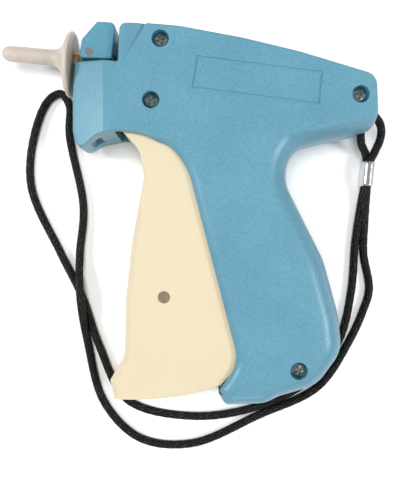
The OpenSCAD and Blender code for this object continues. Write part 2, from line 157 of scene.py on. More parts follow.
def floor():
    bpy.ops.mesh.primitive_plane_add(size=FLOOR_SIZE, location=(0, 0, -FLOOR_GAP))
    sheet = bpy.context.object
    sheet.name = "floor"
    sheet.data.materials.append(plain("floor_paper", (0.95, 0.95, 0.95), 0.9))


# ---- materials ----
def principled(name):
    m = bpy.data.materials.new(name)
    m.use_nodes = True
    return m, m.node_tree.nodes, m.node_tree.links, m.node_tree.nodes["Principled BSDF"]


def plain(name, colour, roughness):
    m, _, _, shader = principled(name)
    shader.inputs["Base Color"].default_value = (*colour, 1)
    shader.inputs["Roughness"].default_value = roughness
    return m


def add_node(nodes, kind, **inputs):
    n = nodes.new(kind)
    for key, value in inputs.items():
        n.inputs[key.replace("_", " ")].default_value = value
    return n


def noise(nodes, links, scale, detail, roughness=0.5):
    where = nodes.new("ShaderNodeTexCoord")
    n = add_node(nodes, "ShaderNodeTexNoise", Scale=scale, Detail=detail, Roughness=roughness)
    links.new(where.outputs["Object"], n.inputs["Vector"])
    return n


def ramp(nodes, links, source, stops):
    r = nodes.new("ShaderNodeValToRGB")
    for k in (0, -1):
        r.color_ramp.elements[k].position = stops[k][0]
        r.color_ramp.elements[k].color = (*stops[k][1], 1)
    for at, colour in stops[1:-1]:
        r.color_ramp.elements.new(at).color = (*colour, 1)
    links.new(source, r.inputs["Fac"])
    return r


def bump(nodes, links, source, shader, strength, distance):
    b = add_node(nodes, "ShaderNodeBump", Strength=strength, Distance=distance)
    links.new(source, b.inputs["Height"])
    links.new(b.outputs["Normal"], shader.inputs["Normal"])


def roughness_from(nodes, links, source, shader, low, high):
    r = add_node(nodes, "ShaderNodeMapRange")
    r.inputs["To Min"].default_value = low
    r.inputs["To Max"].default_value = high
    links.new(source, r.inputs["Value"])
    links.new(r.outputs["Result"], shader.inputs["Roughness"])


def moulded(name, dark, light, rough, grain_mm, depth_mm, speckle=0.5, specular=0.5):
    """Moulded plastic: a fine grain in both colour and relief, over a slow change of colour."""
    m, nodes, links, shader = principled(name)
    slow = noise(nodes, links, scale=45, detail=3)
    grain = noise(nodes, links, scale=1 / (grain_mm * MM), detail=2)
    both = add_node(nodes, "ShaderNodeMix")
    both.inputs["Factor"].default_value = speckle
    links.new(slow.outputs["Fac"], both.inputs[2])
    links.new(grain.outputs["Fac"], both.inputs[3])
    colour = ramp(nodes, links, both.outputs[0], [(0.35, dark), (0.65, light)])
    links.new(colour.outputs["Color"], shader.inputs["Base Color"])
    roughness_from(nodes, links, grain.outputs["Fac"], shader, rough - 0.06, rough + 0.06)
    shader.inputs["Specular IOR Level"].default_value = specular
    bump(nodes, links, grain.outputs["Fac"], shader, strength=1.0, distance=depth_mm * MM)
    return m


def metal(name, dark, light, rough, scratch=1.0):
    m, nodes, links, shader = principled(name)
    streaks = noise(nodes, links, scale=900, detail=4)
    colour = ramp(nodes, links, streaks.outputs["Fac"], [(0.3, dark), (0.7, light)])
    links.new(colour.outputs["Color"], shader.inputs["Base Color"])
    shader.inputs["Metallic"].default_value = 1.0
    roughness_from(nodes, links, streaks.outputs["Fac"], shader, rough - 0.07, rough + 0.09)
    bump(nodes, links, streaks.outputs["Fac"], shader, strength=0.4 * scratch, distance=0.02 * MM)
    return m


# The braid's painted shade and highlight: near black in the valleys between its strands, up to lighter on
# their crests.
BRAID_PAINTED_SHADE_AND_HIGHLIGHT = [(0.26, (0.001, 0.001, 0.001)), (0.44, (0.007, 0.007, 0.006)), (0.62, (0.09, 0.087, 0.078))]


def woven(name):
    """Black braid, with a painted highlight on each strand's crest and painted shade in the valleys between
    strands, over a random fibre tone.
    """
    m, nodes, links, shader = principled(name)
    fibre = noise(nodes, links, scale=1500, detail=3, roughness=0.7)
    strand = nodes.new("ShaderNodeAttribute")
    strand.attribute_name = "strand"
    mixed = add_node(nodes, "ShaderNodeMath")
    mixed.operation = "MULTIPLY"
    links.new(strand.outputs["Fac"], mixed.inputs[0])
    links.new(fibre.outputs["Fac"], mixed.inputs[1])
    # The strand ridge times the fibre tone sets the painted shade in the valleys and the painted highlight
    # on the crests.
    colour = ramp(nodes, links, mixed.outputs["Value"], BRAID_PAINTED_SHADE_AND_HIGHLIGHT)
    links.new(colour.outputs["Color"], shader.inputs["Base Color"])
    shader.inputs["Roughness"].default_value = 0.65
    shader.inputs["Specular IOR Level"].default_value = 0.3
    bump(nodes, links, fibre.outputs["Fac"], shader, strength=0.6, distance=0.06 * MM)
    return m


def nylon(name, dark, light):
    """White moulded nylon, which lets some light through its thin flange."""
    m = moulded(name, dark, light, rough=0.4, grain_mm=1.5, depth_mm=0.006)
    shader = m.node_tree.nodes["Principled BSDF"]
    shader.inputs["Subsurface Weight"].default_value = 0.6
    shader.inputs["Subsurface Scale"].default_value = 3 * MM
    shader.inputs["Subsurface Radius"].default_value = (1, 0.9, 0.75)
    return m


# ---- mesh helpers ----
MERGE_GAP = 0.002
SHORTEST_STEP = 0.05
SLIVER_AREA = 1e-4
# No loose point lies nearer than this to an extra loop, or to a crease.
LOOP_GAP = 0.12
CREASE_GAP = 0.3


def new_object(name, verts, faces, smooth_angle=35):
    mesh = bpy.data.meshes.new(name)
    mesh.from_pydata([Vector(v) * MM for v in verts], [], [tuple(int(i) for i in f) for f in faces])
    mesh.validate()
    piece = bpy.data.objects.new(name, mesh)
    bpy.context.collection.objects.link(piece)
    tidy_normals(mesh, smooth_angle)
    return piece


def tidy_normals(mesh, smooth_angle):
    bm = bmesh.new()
    bm.from_mesh(mesh)
    bmesh.ops.remove_doubles(bm, verts=bm.verts, dist=MERGE_GAP * MM)
    bmesh.ops.recalc_face_normals(bm, faces=bm.faces)
    bm.to_mesh(mesh)
    bm.free()
    mesh.shade_smooth()
    mesh.set_sharp_from_angle(angle=math.radians(smooth_angle))


def rounded(corners, step=0.8, arc_step=12):
    """The outline's points: arcs at its corners, and short steps along its straight stretches."""
    arcs = []
    count = len(corners)
    for i, (x, y, r) in enumerate(corners):
        here = np.array([x, y], float)
        if r <= 0:
            arcs.append([here])
            continue
        u = np.array(corners[i - 1][:2], float) - here
        v = np.array(corners[(i + 1) % count][:2], float) - here
        u /= np.linalg.norm(u)
        v /= np.linalg.norm(v)
        half = math.acos(np.clip(u @ v, -1, 1)) / 2
        centre = here + (u + v) / np.linalg.norm(u + v) * r / math.sin(half)
        p = here + u * r / math.tan(half) - centre
        q = here + v * r / math.tan(half) - centre
        start = math.atan2(p[1], p[0])
        turn = (math.atan2(q[1], q[0]) - start + 3 * math.pi) % (2 * math.pi) - math.pi
        finest = max(abs(turn) / math.radians(arc_step), abs(turn) * r / step)
        steps = max(2, int(math.ceil(finest)))
        angles = [start + turn * k / steps for k in range(steps + 1)]
        arcs.append([centre + r * np.array([math.cos(a), math.sin(a)]) for a in angles])
    points = []
    for i, arc in enumerate(arcs):
        points.extend(arc)
        a, b = arc[-1], arcs[(i + 1) % count][0]
        steps = int(np.linalg.norm(b - a) // step)
        points.extend(a + (b - a) * k / (steps + 1) for k in range(1, steps + 1))
    kept = [points[0]]
    for p in points[1:]:
        if np.linalg.norm(p - kept[-1]) > SHORTEST_STEP:
            kept.append(p)
    if np.linalg.norm(kept[0] - kept[-1]) <= SHORTEST_STEP:
        kept.pop()
    return np.array(kept)


def inset(corners, depth):
    """The corners moved inward by depth, for an outline that runs either way round."""
    xy = np.array([c[:2] for c in corners], float)
    turning = signed_area(xy) > 0
    out = []
    count = len(corners)
    for i in range(count):
        a, b, c = xy[i - 1], xy[i], xy[(i + 1) % count]
        u, v = (b - a) / np.linalg.norm(b - a), (c - b) / np.linalg.norm(c - b)
        nu, nv = np.array([-u[1], u[0]]), np.array([-v[1], v[0]])
        if not turning:
            nu, nv = -nu, -nv
        mitre = (nu + nv) / (1 + nu @ nv)
        convex = (u[0] * v[1] - u[1] * v[0] > 0) == turning
        r = corners[i][2]
        out.append((*(b + mitre * depth), max(r - depth, 0) if convex else r + depth))
    return out


def signed_area(p):
    q = np.roll(p, -1, axis=0)
    return float((p[:, 0] * q[:, 1] - q[:, 0] * p[:, 1]).sum() / 2)


def inside(points, loop):
    hit = np.zeros(len(points), bool)
    x, y = points[:, 0], points[:, 1]
    for a, b in zip(loop, np.roll(loop, -1, axis=0)):
        if a[1] == b[1]:
            continue
        crosses = (a[1] > y) != (b[1] > y)
        hit ^= crosses & (x < a[0] + (y - a[1]) * (b[0] - a[0]) / (b[1] - a[1]))
    return hit


def distance(points, loop, closed=True):
    """Distance from each point to a closed loop, or to an open line."""
    best = np.full(len(points), 1e9)
    ends = np.roll(loop, -1, axis=0) if closed else loop[1:]
    for a, b in zip(loop, ends):
        ab = b - a
        t = np.clip(((points - a) @ ab) / max(ab @ ab, 1e-12), 0, 1)
        gap = points - (a + t[:, None] * ab)
        best = np.minimum(best, (gap * gap).sum(1))
    return np.sqrt(best)


def inward(loop):
    ahead = np.roll(loop, -1, axis=0) - np.roll(loop, 1, axis=0)
    n = np.stack([-ahead[:, 1], ahead[:, 0]], 1)
    n /= np.linalg.norm(n, axis=1)[:, None]
    return n if signed_area(loop) > 0 else -n


def spread(loop, depths, grid):
    """Points inside a loop: rings at each depth, then a plain grid further in."""
    normals = inward(loop)
    sets = []
    for k, depth in enumerate(depths):
        ring = loop + normals * depth
        ring = ring[inside(ring, loop)]
        ring = ring[distance(ring, loop) > depth * 0.97]
        room = 0.45 * (depth - (depths[k - 1] if k else 0))
        seen, kept = set(), []
        for p in ring:
            key = (round(p[0] / room), round(p[1] / room))
            if key not in seen:
                seen.add(key)
                kept.append(p)
        sets.append(np.array(kept).reshape(-1, 2))
    lo, hi = loop.min(0), loop.max(0)
    rows = np.arange(lo[1], hi[1], grid)
    middle = np.array([
        (x + (grid / 2 if j % 2 else 0), y)
        for j, y in enumerate(rows) for x in np.arange(lo[0], hi[0], grid)
    ])
    middle = middle[inside(middle, loop)]
    middle = middle[distance(middle, loop) > depths[-1] + grid / 2]
    sets.append(middle)
    return np.concatenate(sets)


def triangle_areas(flat, tris):
    a = flat[tris[:, 0]]
    ab = flat[tris[:, 1]] - a
    ac = flat[tris[:, 2]] - a
    return np.abs(ab[:, 0] * ac[:, 1] - ab[:, 1] * ac[:, 0]) / 2


def chain(start, count, closed):
    """The edges that join a row of points, numbered from start."""
    return [(start + i, start + (i + 1) % count) for i in range(count if closed else count - 1)]


def face_sheet(loop, height, depths, grid, extra_loops=(), crease=None):
    """Triangles over a loop's inside, lifted to height(points, distance to the loop)."""
    loose = spread(loop, depths, grid)
    lines = [(loop, True)]
    for other in extra_loops:
        loose = loose[distance(loose, other) > LOOP_GAP]
        lines.append((other, True))
    if crease is not None:
        loose = loose[distance(loose, crease, closed=False) > CREASE_GAP]
        lines.append((crease, False))
    points, edges = [], []
    for line, closed in lines:
        edges += chain(len(points), len(line), closed)
        points += [tuple(p) for p in line]
    points += [tuple(p) for p in loose]
    out = delaunay_2d_cdt([Vector(p) for p in points], edges, [], 0, 1e-5)
    flat = np.array([tuple(p) for p in out[0]])
    tris = np.array([tuple(f) for f in out[2]])
    keep = inside(flat[tris].mean(1), loop) & (triangle_areas(flat, tris) > SLIVER_AREA)
    z = height(flat, distance(flat, loop))
    return np.column_stack([flat, z]), tris[keep]


def lifted(loop, height, depths, grid, extra_loops, wall_levels, base, seam, crease=None):
    """A lifted sheet with walls below its rim, down to base, where the last ring is inset by seam.

    Returns all verts and faces, then the sheet's own points and triangles, its rim and the last ring.
    """
    top, tris = face_sheet(loop, height, depths, grid, extra_loops, crease)
    rim = [int(np.argmin(np.abs(top[:, :2] - p).sum(1))) for p in loop]
    verts = [tuple(v) for v in top]
    faces = [tuple(t) for t in tris]
    upper = rim
    edge = loop + inward(loop) * seam
    for level in range(1, wall_levels + 1):
        last = level == wall_levels
        low = base if last else base + seam
        share = 1 if last else level / (wall_levels - (seam > 0))
        lower = []
        for i, p in zip(rim, edge if last else loop):
            lower.append(len(verts))
            verts.append((p[0], p[1], top[i][2] + (low - top[i][2]) * share))
        for k in range(len(loop)):
            n = (k + 1) % len(loop)
            faces.append((upper[k], upper[n], lower[n], lower[k]))
        upper = lower
    return verts, faces, top, tris, rim, edge


def closed_half(loop, height, depths, grid, extra_loops=(), wall_levels=6, base=0.0, seam=0.0, crease=None):
    """A closed solid between the flat plane z = base and a lifted sheet over the loop."""
    parts = lifted(loop, height, depths, grid, extra_loops, wall_levels, base, seam, crease)
    verts, faces, top, tris, rim, edge = parts
    start = len(verts)
    flat = top[:, :2].copy()
    flat[rim] = edge
    verts += [(p[0], p[1], base) for p in flat]
    faces += [(start + a, start + c, start + b) for a, b, c in tris]
    return verts, faces


def closed_whole(loop, height, depths, grid, extra_loops=(), wall_levels=5):
    """A closed solid that is the same on both sides of z = 0."""
    verts, faces, *_ = lifted(loop, height, depths, grid, extra_loops, wall_levels, 0.0, 0.0)
    count = len(verts)
    faces = faces + [tuple(count + i for i in reversed(f)) for f in faces]
    verts = verts + [(x, y, -z) for x, y, z in verts]
    return verts, faces


def prism(loop, low, high):
    """A straight prism over a loop, as verts and faces."""
    n = len(loop)
    verts = [(p[0], p[1], low) for p in loop] + [(p[0], p[1], high) for p in loop]
    faces = [tuple(range(n)), tuple(range(2 * n - 1, n - 1, -1))]
    faces += [(i, (i + 1) % n, n + (i + 1) % n, n + i) for i in range(n)]
    return verts, faces


def disc(at, r, steps=40):
    a = np.arange(steps) * 2 * math.pi / steps
    return np.column_stack([at[0] + r * np.cos(a), at[1] + r * np.sin(a)])


def rod(a, b, r, steps=24):
    """A closed cylinder between two points."""
    a, b = np.array(a, float), np.array(b, float)
    way = (b - a) / np.linalg.norm(b - a)
    side = np.cross(way, (0, 0, 1) if abs(way[2]) < 0.9 else (1, 0, 0))
    side /= np.linalg.norm(side)
    up = np.cross(way, side)
    t = np.arange(steps) * 2 * math.pi / steps
    ring = r * (np.cos(t)[:, None] * side + np.sin(t)[:, None] * up)
    verts = [tuple(v) for v in a + ring] + [tuple(v) for v in b + ring]
    faces = [tuple(range(steps)), tuple(range(2 * steps - 1, steps - 1, -1))]
    faces += [(i, (i + 1) % steps, steps + (i + 1) % steps, steps + i) for i in range(steps)]
    return verts, faces


def loft(rings):
    """Quads between rings of equal length, with a flat face on each end."""
    n = len(rings[0])
    verts = [tuple(v) for ring in rings for v in ring]
    faces = [tuple(range(n)), tuple((len(rings) - 1) * n + k for k in reversed(range(n)))]
    for i in range(len(rings) - 1):
        for k in range(n):
            j = (k + 1) % n
            faces.append((i * n + k, i * n + j, (i + 1) * n + j, (i + 1) * n + k))
    return verts, faces


def hull(points):
    order = convex_hull_2d([Vector(p) for p in points])
    return np.array([points[i] for i in order])


def bar(a, b, width):
    """The four corners of a straight bar from a to b."""
    a, b = np.array(a, float), np.array(b, float)
    d = (b - a) / np.linalg.norm(b - a)
    n = np.array([-d[1], d[0]]) * width / 2
    return np.array([a - n, b - n, b + n, a + n])


def cut(piece, tools, operation="DIFFERENCE"):
    """Applies a boolean with each tool, a (verts, faces) pair in millimetres, and keeps only the result."""
    for k, (verts, faces) in enumerate(tools):
        tool = new_object(f"tool_{k}", verts, faces)
        change = piece.modifiers.new("cut", "BOOLEAN")
        change.operation = operation
        change.solver = "EXACT"
        change.object = tool
        graph = bpy.context.evaluated_depsgraph_get()
        result = bpy.data.meshes.new_from_object(piece.evaluated_get(graph))
        piece.modifiers.clear()
        piece.data = result
        bpy.data.objects.remove(tool)
    return piece


def place(piece, body, material, node, smooth_angle=35):
    piece.data.materials.clear()
    piece.data.materials.append(material)
    tidy_normals(piece.data, smooth_angle)
    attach(piece, body)
    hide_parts(node)
    return piece


def raise_to_middle(piece):
    """Moves a piece built about z = 0 up to the casing's mid-plane."""
    for v in piece.data.vertices:
        v.co.z += MID_Z * MM


def smooth_step(value, low, high):
    t = np.clip((value - low) / (high - low), 0, 1)
    return t * t * (3 - 2 * t)


# ---- casing ----
NOSE_CREASE_X = -16.7
NOSE_SLOPE = 0.5
NOSE_Y = (-11, 13.6)
CRISP_R = 0.75
SOFT_R = 5.0
PALM_R = 8.0
# The lower edge of the casing's crisply moulded upper part, as X and Y.
CRISP_LINE = ((-40, -5, 20, 50, 100), (-30, -14, -6, -8, -1))
RING_DEPTHS = [0.14, 0.28, 0.45, 0.75, 1.2, 1.8, 2.6, 3.5, 4.5, 5.6, 6.8, 8.0]
SEAM = 0.1
# Added solids start this far from the mid-plane, so that no two faces coincide.
SPLIT = 0.02
# They reach this far into the wall above them.
ROOT = 0.2
# Cutting tools reach this far past the face that they open.
PAST = 2
CAVITY_HALF = MID_Z - WALL
# The least wall left under a rounded edge.
CORNER_WALL = 1.5
# The handle's middle, which parts its palm side from its trigger side: its X at a height, and its lean.
HANDLE_X = 30
HANDLE_Y = -20
HANDLE_LEAN = 0.15
PALM_BLEND = 4
CRISP_BLEND = 6
# How much taller than wide the soft edges are.
SOFT_STRETCH = 0.25
SCREW_BOSS_R = 4.6
PIVOT_BOSS_R = 3.2
PIVOT_SHOULDER_R = 5.2
SCREW_HOLE_R = 1.35
TONGUE_HALF = 3.5
TONGUE_R = 3.3
TONGUE_FOOT = [(-25.5, 13), (-16.5, 13), (-25.5, 15.5), (-16.5, 15.5)]
SHOULDER = [(-11, 40, 0), (-11, 13.7, 0), (-9.5, 13.7, 0), (-2, 25.8, 0), (6.8, 40, 0)]
SHOULDER_X = -11
SHOULDER_RUN = 9
SHOULDER_DIP = 1.9
SHOULDER_CURVE = 1.6
FEED_TOP = (-12.6, 13.2)
FEED_BOTTOM = (-19.8, -11.2)
FEED_W = 3.5
FEED_HALF = 4.6
# The bores for the needle's base and for the push rod, as distances along the needle's line.
BASE_BORE = (-30.5, -19.5)
BASE_BORE_R = 1.65
ROD_BORE = (-20.5, 20)
ROD_BORE_R = 1.3
# The cord's holes, through the tail's rear wall and through its underside.
CORD_HOLES = [((74, -1.8, 0), (82, -1.8, 0)), ((76.8, -4, 0), (76.8, -12, 0))]
CORD_HOLE_R = 1.9


def edge_radius(points):
    """The handle and the tail's underside are softly rounded, and the body above is crisp."""
    x, y = points[:, 0], points[:, 1]
    below = np.interp(x, *CRISP_LINE) - y
    middle = HANDLE_X - HANDLE_LEAN * (y - HANDLE_Y)
    palm_side = smooth_step(x - middle, -PALM_BLEND, PALM_BLEND)
    soft = SOFT_R + (PALM_R - SOFT_R) * palm_side
    return CRISP_R + (soft - CRISP_R) * smooth_step(below, 0, CRISP_BLEND)


def casing_top(points):
    """The height of the side face above the mid-plane, before its edges are rounded."""
    return np.minimum(MID_Z, MID_Z + NOSE_SLOPE * (points[:, 0] - NOSE_CREASE_X))


def fillet_drop(depth, r):
    """How far a round edge of radius r lies below the face, at a depth in from the outline."""
    d = np.minimum(depth, r)
    return r - np.sqrt(np.maximum(r * r - (r - d) ** 2, 0))


def casing_height(points, depth):
    """The soft edges are a quarter taller than they are wide, and the crisp ones are round."""
    r = edge_radius(points)
    tall = 1 + SOFT_STRETCH * smooth_step(r, 1, 4)
    return casing_top(points) - tall * fillet_drop(depth, r)


def cavity_height(points, depth):
    flat = np.minimum(CAVITY_HALF, casing_top(points) - WALL)
    return np.minimum(flat, casing_height(points, depth + WALL) - CORNER_WALL)


def shoulder_floor(points, depth):
    """The facet behind the needle lock: flush in front, and dipping to a step up to the side face."""
    run = np.clip(points[:, 0] - SHOULDER_X, 0, None) / SHOULDER_RUN
    return MID_Z - SHOULDER_DIP * run**SHOULDER_CURVE


def trigger_room():
    """The open front of the handle, swept by the trigger from rest to fully squeezed."""
    return np.array([
        (-13, -30), (-13, -9.6), (-11, 4), (-8, 9.5), (5, 9.5), (11, 4), (27.5, -30), (41, -56),
        (54, -85), (50, -96.5), (35, -102.4), (24, -104), (14, -107), (-30, -107),
    ])


def tongue():
    """The casing's tab that the lock cap sits on."""
    return hull([tuple(p) for p in disc(CAP_PIN, TONGUE_R, 30)] + TONGUE_FOOT)


def on_line(s, drop=0.0):
    """A point on the needle's line, measured from X = 0 and down from it."""
    c, n = math.cos(NEEDLE_TILT), math.sin(NEEDLE_TILT)
    return s * c - drop * n, LINE_Y - s * n - drop * c


def groove_bars():
    corners = np.array([c[:2] for c in PANEL], float)
    bars = []
    for a, b in zip(corners, np.roll(corners, -1, axis=0)):
        reach = (b - a) / np.linalg.norm(b - a) * PANEL_LINE / 2
        bars.append(prism(bar(a - reach, b + reach, PANEL_LINE), MID_Z - PANEL_GROOVE, MID_Z + PAST))
    return bars


def bosses():
    """The screws' posts. The second also carries the trigger, and has a shoulder beside it."""
    top = CAVITY_HALF + ROOT
    posts = [prism(disc(SCREWS[i], SCREW_BOSS_R), SPLIT, top) for i in (0, 2, 3)]
    posts.append(prism(disc(SCREWS[1], PIVOT_BOSS_R), SPLIT, top))
    posts.append(prism(disc(SCREWS[1], PIVOT_SHOULDER_R), TRIGGER_HALF + 0.1, top))
    return posts


def openings():
    """The needle's bore, the feed slot and the two holes for the cord, about the mid-plane."""
    top = np.array(FEED_TOP) + (1.5, 5)
    bottom = np.array(FEED_BOTTOM) - (1.5, 5)
    bores = [
        rod(*[(*on_line(s), 0) for s in ends], r)
        for ends, r in ((BASE_BORE, BASE_BORE_R), (ROD_BORE, ROD_BORE_R))
    ]
    slot = prism(bar(top, bottom, FEED_W), -1, FEED_HALF)
    return bores + [slot] + [rod(a, b, CORD_HOLE_R) for a, b in CORD_HOLES]


def casing(name, node, side, material):
    """side is 1 for the left half, which faces +Z, and -1 for the right half."""
    outline = rounded(CASING_CORNERS)
    loops = [disc(p, COUNTERBORE_R) for p in SCREWS] if side > 0 else []
    crease = np.array([(NOSE_CREASE_X, y) for y in np.linspace(*NOSE_Y, 32)])
    verts, faces = closed_half(
        outline, casing_height, RING_DEPTHS, grid=2.2, extra_loops=loops, seam=SEAM, crease=crease,
    )
    piece = new_object(name, verts, faces)
    inner = rounded(inset(CASING_CORNERS, WALL), 2)
    cut(piece, [closed_half(inner, cavity_height, [1.0, 2.2, 3.6], grid=3.0, base=-1.0)])
    cut(piece, [prism(trigger_room(), -1, CAVITY_HALF)])
    cut(piece, bosses(), "UNION")
    cut(piece, [prism(tongue(), SPLIT, TONGUE_HALF)], "UNION")
    cut(piece, [closed_half(rounded(SHOULDER, 1.0), shoulder_floor, [0.3], grid=1.0, base=20.0)])
    cut(piece, openings())
    if side > 0:
        for p in SCREWS:
            cut(piece, [prism(disc(p, COUNTERBORE_R), MID_Z - COUNTERBORE_DEPTH, MID_Z + PAST)])
            cut(piece, [prism(disc(p, SCREW_HOLE_R, 20), -1, MID_Z + PAST)])
        cut(piece, groove_bars())
    for v in piece.data.vertices:
        v.co.z = MID_Z * MM + side * v.co.z
    return place(piece, "casing", material, node, smooth_angle=22)


# ---- trigger ----
# The bevel widens between these depths below the pivot.
BEVEL_FROM_Y = 25
BEVEL_FULL_Y = 45
BEVEL_W = 1.9
BEVEL_LEAST_W = 0.4
BEVEL_SLOPE = 0.85
TRIGGER_EDGE = 0.45
TRIGGER_WALL = 2.2
# How far the hollow is drawn back, which opens the trigger's rear edge.
REAR_OPENING = 7
# The trigger's foot is an arc about this point.
FOOT_CENTRE = (-7, -5.8)
FOOT_R = 100
HUB_ROOM_R = 8.1
HUB_R = 6.6
HUB_FROM = 4.7
HUB_TO = 8.8
HUB_HOLE_R = 4.55
TRIGGER_PIN_R = 2.2
RELIEF_R = 3.3
RELIEF_TURN = math.radians(-12.5)
# Half the length of a tool that goes right through the trigger or the lock cap.
THROUGH = 12


def trigger_outline():
    x, y = FOOT_CENTRE
    angles = [math.radians(a) for a in range(-92, -72, 3)]
    foot = [(x + FOOT_R * math.cos(a), y + FOOT_R * math.sin(a), 0) for a in angles]
    return TRIGGER_FRONT + foot + TRIGGER_BACK


def trigger_height(front):
    """The trigger's side face, with a bevel along its front that widens downward."""
    def height(points, depth):
        share = smooth_step(-points[:, 1], BEVEL_FROM_Y, BEVEL_FULL_Y)
        width = BEVEL_LEAST_W + (BEVEL_W - BEVEL_LEAST_W) * share
        bevel = BEVEL_SLOPE * np.maximum(width - distance(points, front, closed=False), 0)
        return TRIGGER_HALF - np.maximum(bevel, fillet_drop(depth, TRIGGER_EDGE))
    return height


def lever_relief():
    """Room in the trigger's rear edge for the lever's pivot when it is squeezed."""
    spots = []
    for a in (0, RELIEF_TURN):
        x = LEVER_PIVOT[0] * math.cos(a) - LEVER_PIVOT[1] * math.sin(a)
        y = LEVER_PIVOT[0] * math.sin(a) + LEVER_PIVOT[1] * math.cos(a)
        spots += [tuple(p) for p in disc((x, y), RELIEF_R, 32)]
    return hull(spots)


def front_edge(outline):
    """The points of the trigger's front edge, which carries the bevel."""
    x, y = outline[:, 0], outline[:, 1]
    return outline[(x < -1) & (y < -20) & (y > -104.6)]


def trigger(material):
    corners = trigger_outline()
    outline = rounded(corners)
    depths = [0.1, 0.25, 0.45, 0.8, 1.2, 1.6, 1.9, 2.3, 3.2]
    pin_hole = disc(TRIGGER_PIN, TRIGGER_PIN_R, 32)
    height = trigger_height(front_edge(outline))
    verts, faces = closed_whole(outline, height, depths, grid=2.4, extra_loops=[pin_hole])
    piece = new_object("trigger_shell", verts, faces)
    room = TRIGGER_HALF - TRIGGER_WALL
    inner = rounded(inset(corners, 2.5), 2.5)
    cut(piece, [prism(inner, -room, room), prism(inner + (REAR_OPENING, 0), -room, room)])
    cut(piece, [prism(disc((0, 0), HUB_ROOM_R), -room, room)])
    hub = disc((0, 0), HUB_R)
    cut(piece, [prism(hub, HUB_FROM, HUB_TO), prism(hub, -HUB_TO, -HUB_FROM)], "UNION")
    for hole in (disc((0, 0), HUB_HOLE_R), pin_hole, lever_relief()):
        cut(piece, [prism(hole, -THROUGH, THROUGH)])
    raise_to_middle(piece)
    return place(piece, "trigger", material, "trigger", smooth_angle=22)


# ---- needle lock and guard ----
CAP_HALF = 8
CAP_EDGE = 0.55
CAP_PIN_R = 1.5
CAP_SLOT_HALF = 3.8


def cap_height(points, depth):
    return CAP_HALF - fillet_drop(depth, CAP_EDGE)


def needle_lock_cap(material):
    outline = rounded(CAP_CORNERS, 0.5)
    pin_hole = disc(CAP_PIN, CAP_PIN_R, 28)
    depths = [0.06, 0.18, 0.34, 0.55, 1.2]
    verts, faces = closed_whole(outline, cap_height, depths, grid=1.5, extra_loops=[pin_hole])
    piece = new_object("lock_cap_shell", verts, faces)
    high_slot = np.array([(-31, 10), (-16.2, 10), (-16.2, 23.2), (-31, 23.2)])
    low_slot = np.array([(-31, 10), (-6, 10), (-6, 18.6), (-31, 18.6)])
    cut(piece, [prism(slot, -CAP_SLOT_HALF, CAP_SLOT_HALF) for slot in (high_slot, low_slot)])
    cut(piece, [prism(pin_hole, -THROUGH, THROUGH)])
    raise_to_middle(piece)
    return place(piece, "needle_lock_cap", material, "needle_lock_cap", smooth_angle=30)


# The guard's outside along the needle's line: distance, radius and how far its centre has dropped.
GUARD_PROFILE = [
    (-56.15, 0.5, 0), (-55.95, 1.2, 0), (-55.5, 1.85, 0), (-54.8, 2.4, 0), (-54, 2.72, 0), (-53.2, 2.85, 0),
    (-46, 2.85, 0), (-39, 2.85, 0), (-37.3, 2.95, 0.02), (-36, 3.25, 0.08), (-34.9, 3.9, 0.25),
    (-34, 4.9, 0.5), (-33.2, 6.3, 0.95), (-32.5, 7.9, 1.4), (-31.9, 9.5, 1.85), (-31.4, 10.8, 2.1),
    (-31, 11.5, 2.2), (-30.6, 11.82, 2.2), (-30.2, 11.9, 2.2), (-29.85, 11.8, 2.2), (-29.6, 11.5, 2.2),
    (-29.5, 11.1, 2.2), (-29.5, 6, 2.2), (-29.5, 2.6, 0.2),
]
GUARD_SIDES = 56
GUARD_BORE = (-53, -28.5)
GUARD_BORE_R = 1.7


def needle_guard(material):
    """A trumpet-shaped guard, bored from its flange to near its closed tip."""
    c, n = math.cos(NEEDLE_TILT), math.sin(NEEDLE_TILT)
    turns = np.arange(GUARD_SIDES) * 2 * math.pi / GUARD_SIDES
    rings = []
    for s, r, drop in GUARD_PROFILE:
        side = -drop + r * np.cos(turns)
        x = s * c + side * n
        y = LINE_Y - s * n + side * c
        rings.append(np.column_stack([x, y, MID_Z + r * np.sin(turns)]))
    piece = new_object("guard_shell", *loft(rings))
    a, b = [(*on_line(s), MID_Z) for s in GUARD_BORE]
    cut(piece, [rod(a, b, GUARD_BORE_R)])
    return place(piece, "needle_guard", material, "needle_guard", smooth_angle=40)


# ---- screws ----
SHANK_R = 1.2
SHANK_END_Z = 5
HEAD_Z = CASING_T - COUNTERBORE_DEPTH
# The domed head's radius and height, from its seat up.
HEAD_PROFILE = [
    (2.55, 0), (2.85, 0.2), (2.85, 0.5), (2.7, 0.8), (2.45, 1.04),
    (2.1, 1.25), (1.7, 1.4), (1.2, 1.48), (0.3, 1.5),
]
# The recess's arm length and half width, and its height from the head's top.
RECESS_LEVELS = [(0.9, 0.22, -0.95), (1.65, 0.42, -0.1), (1.75, 0.45, 1)]
FIRST_TURN = 20
TURN_STEP = 31


def level_ring(outline, z):
    return np.column_stack([outline, np.full(len(outline), z)])


def screw_mesh():
    shank = [(SHANK_R, SHANK_END_Z), (SHANK_R, HEAD_Z)]
    head = [(r, HEAD_Z + z) for r, z in HEAD_PROFILE]
    return loft([level_ring(disc((0, 0), r, 36), z) for r, z in shank + head])


def cross_outline(arm, half):
    """A cross with splayed arms."""
    points = []
    for k in range(4):
        a = k * math.pi / 2
        for u, v in ((half, -half), (arm, -half * 1.25), (arm, half * 1.25)):
            points.append((u * math.cos(a) - v * math.sin(a), u * math.sin(a) + v * math.cos(a)))
    return np.array(points)


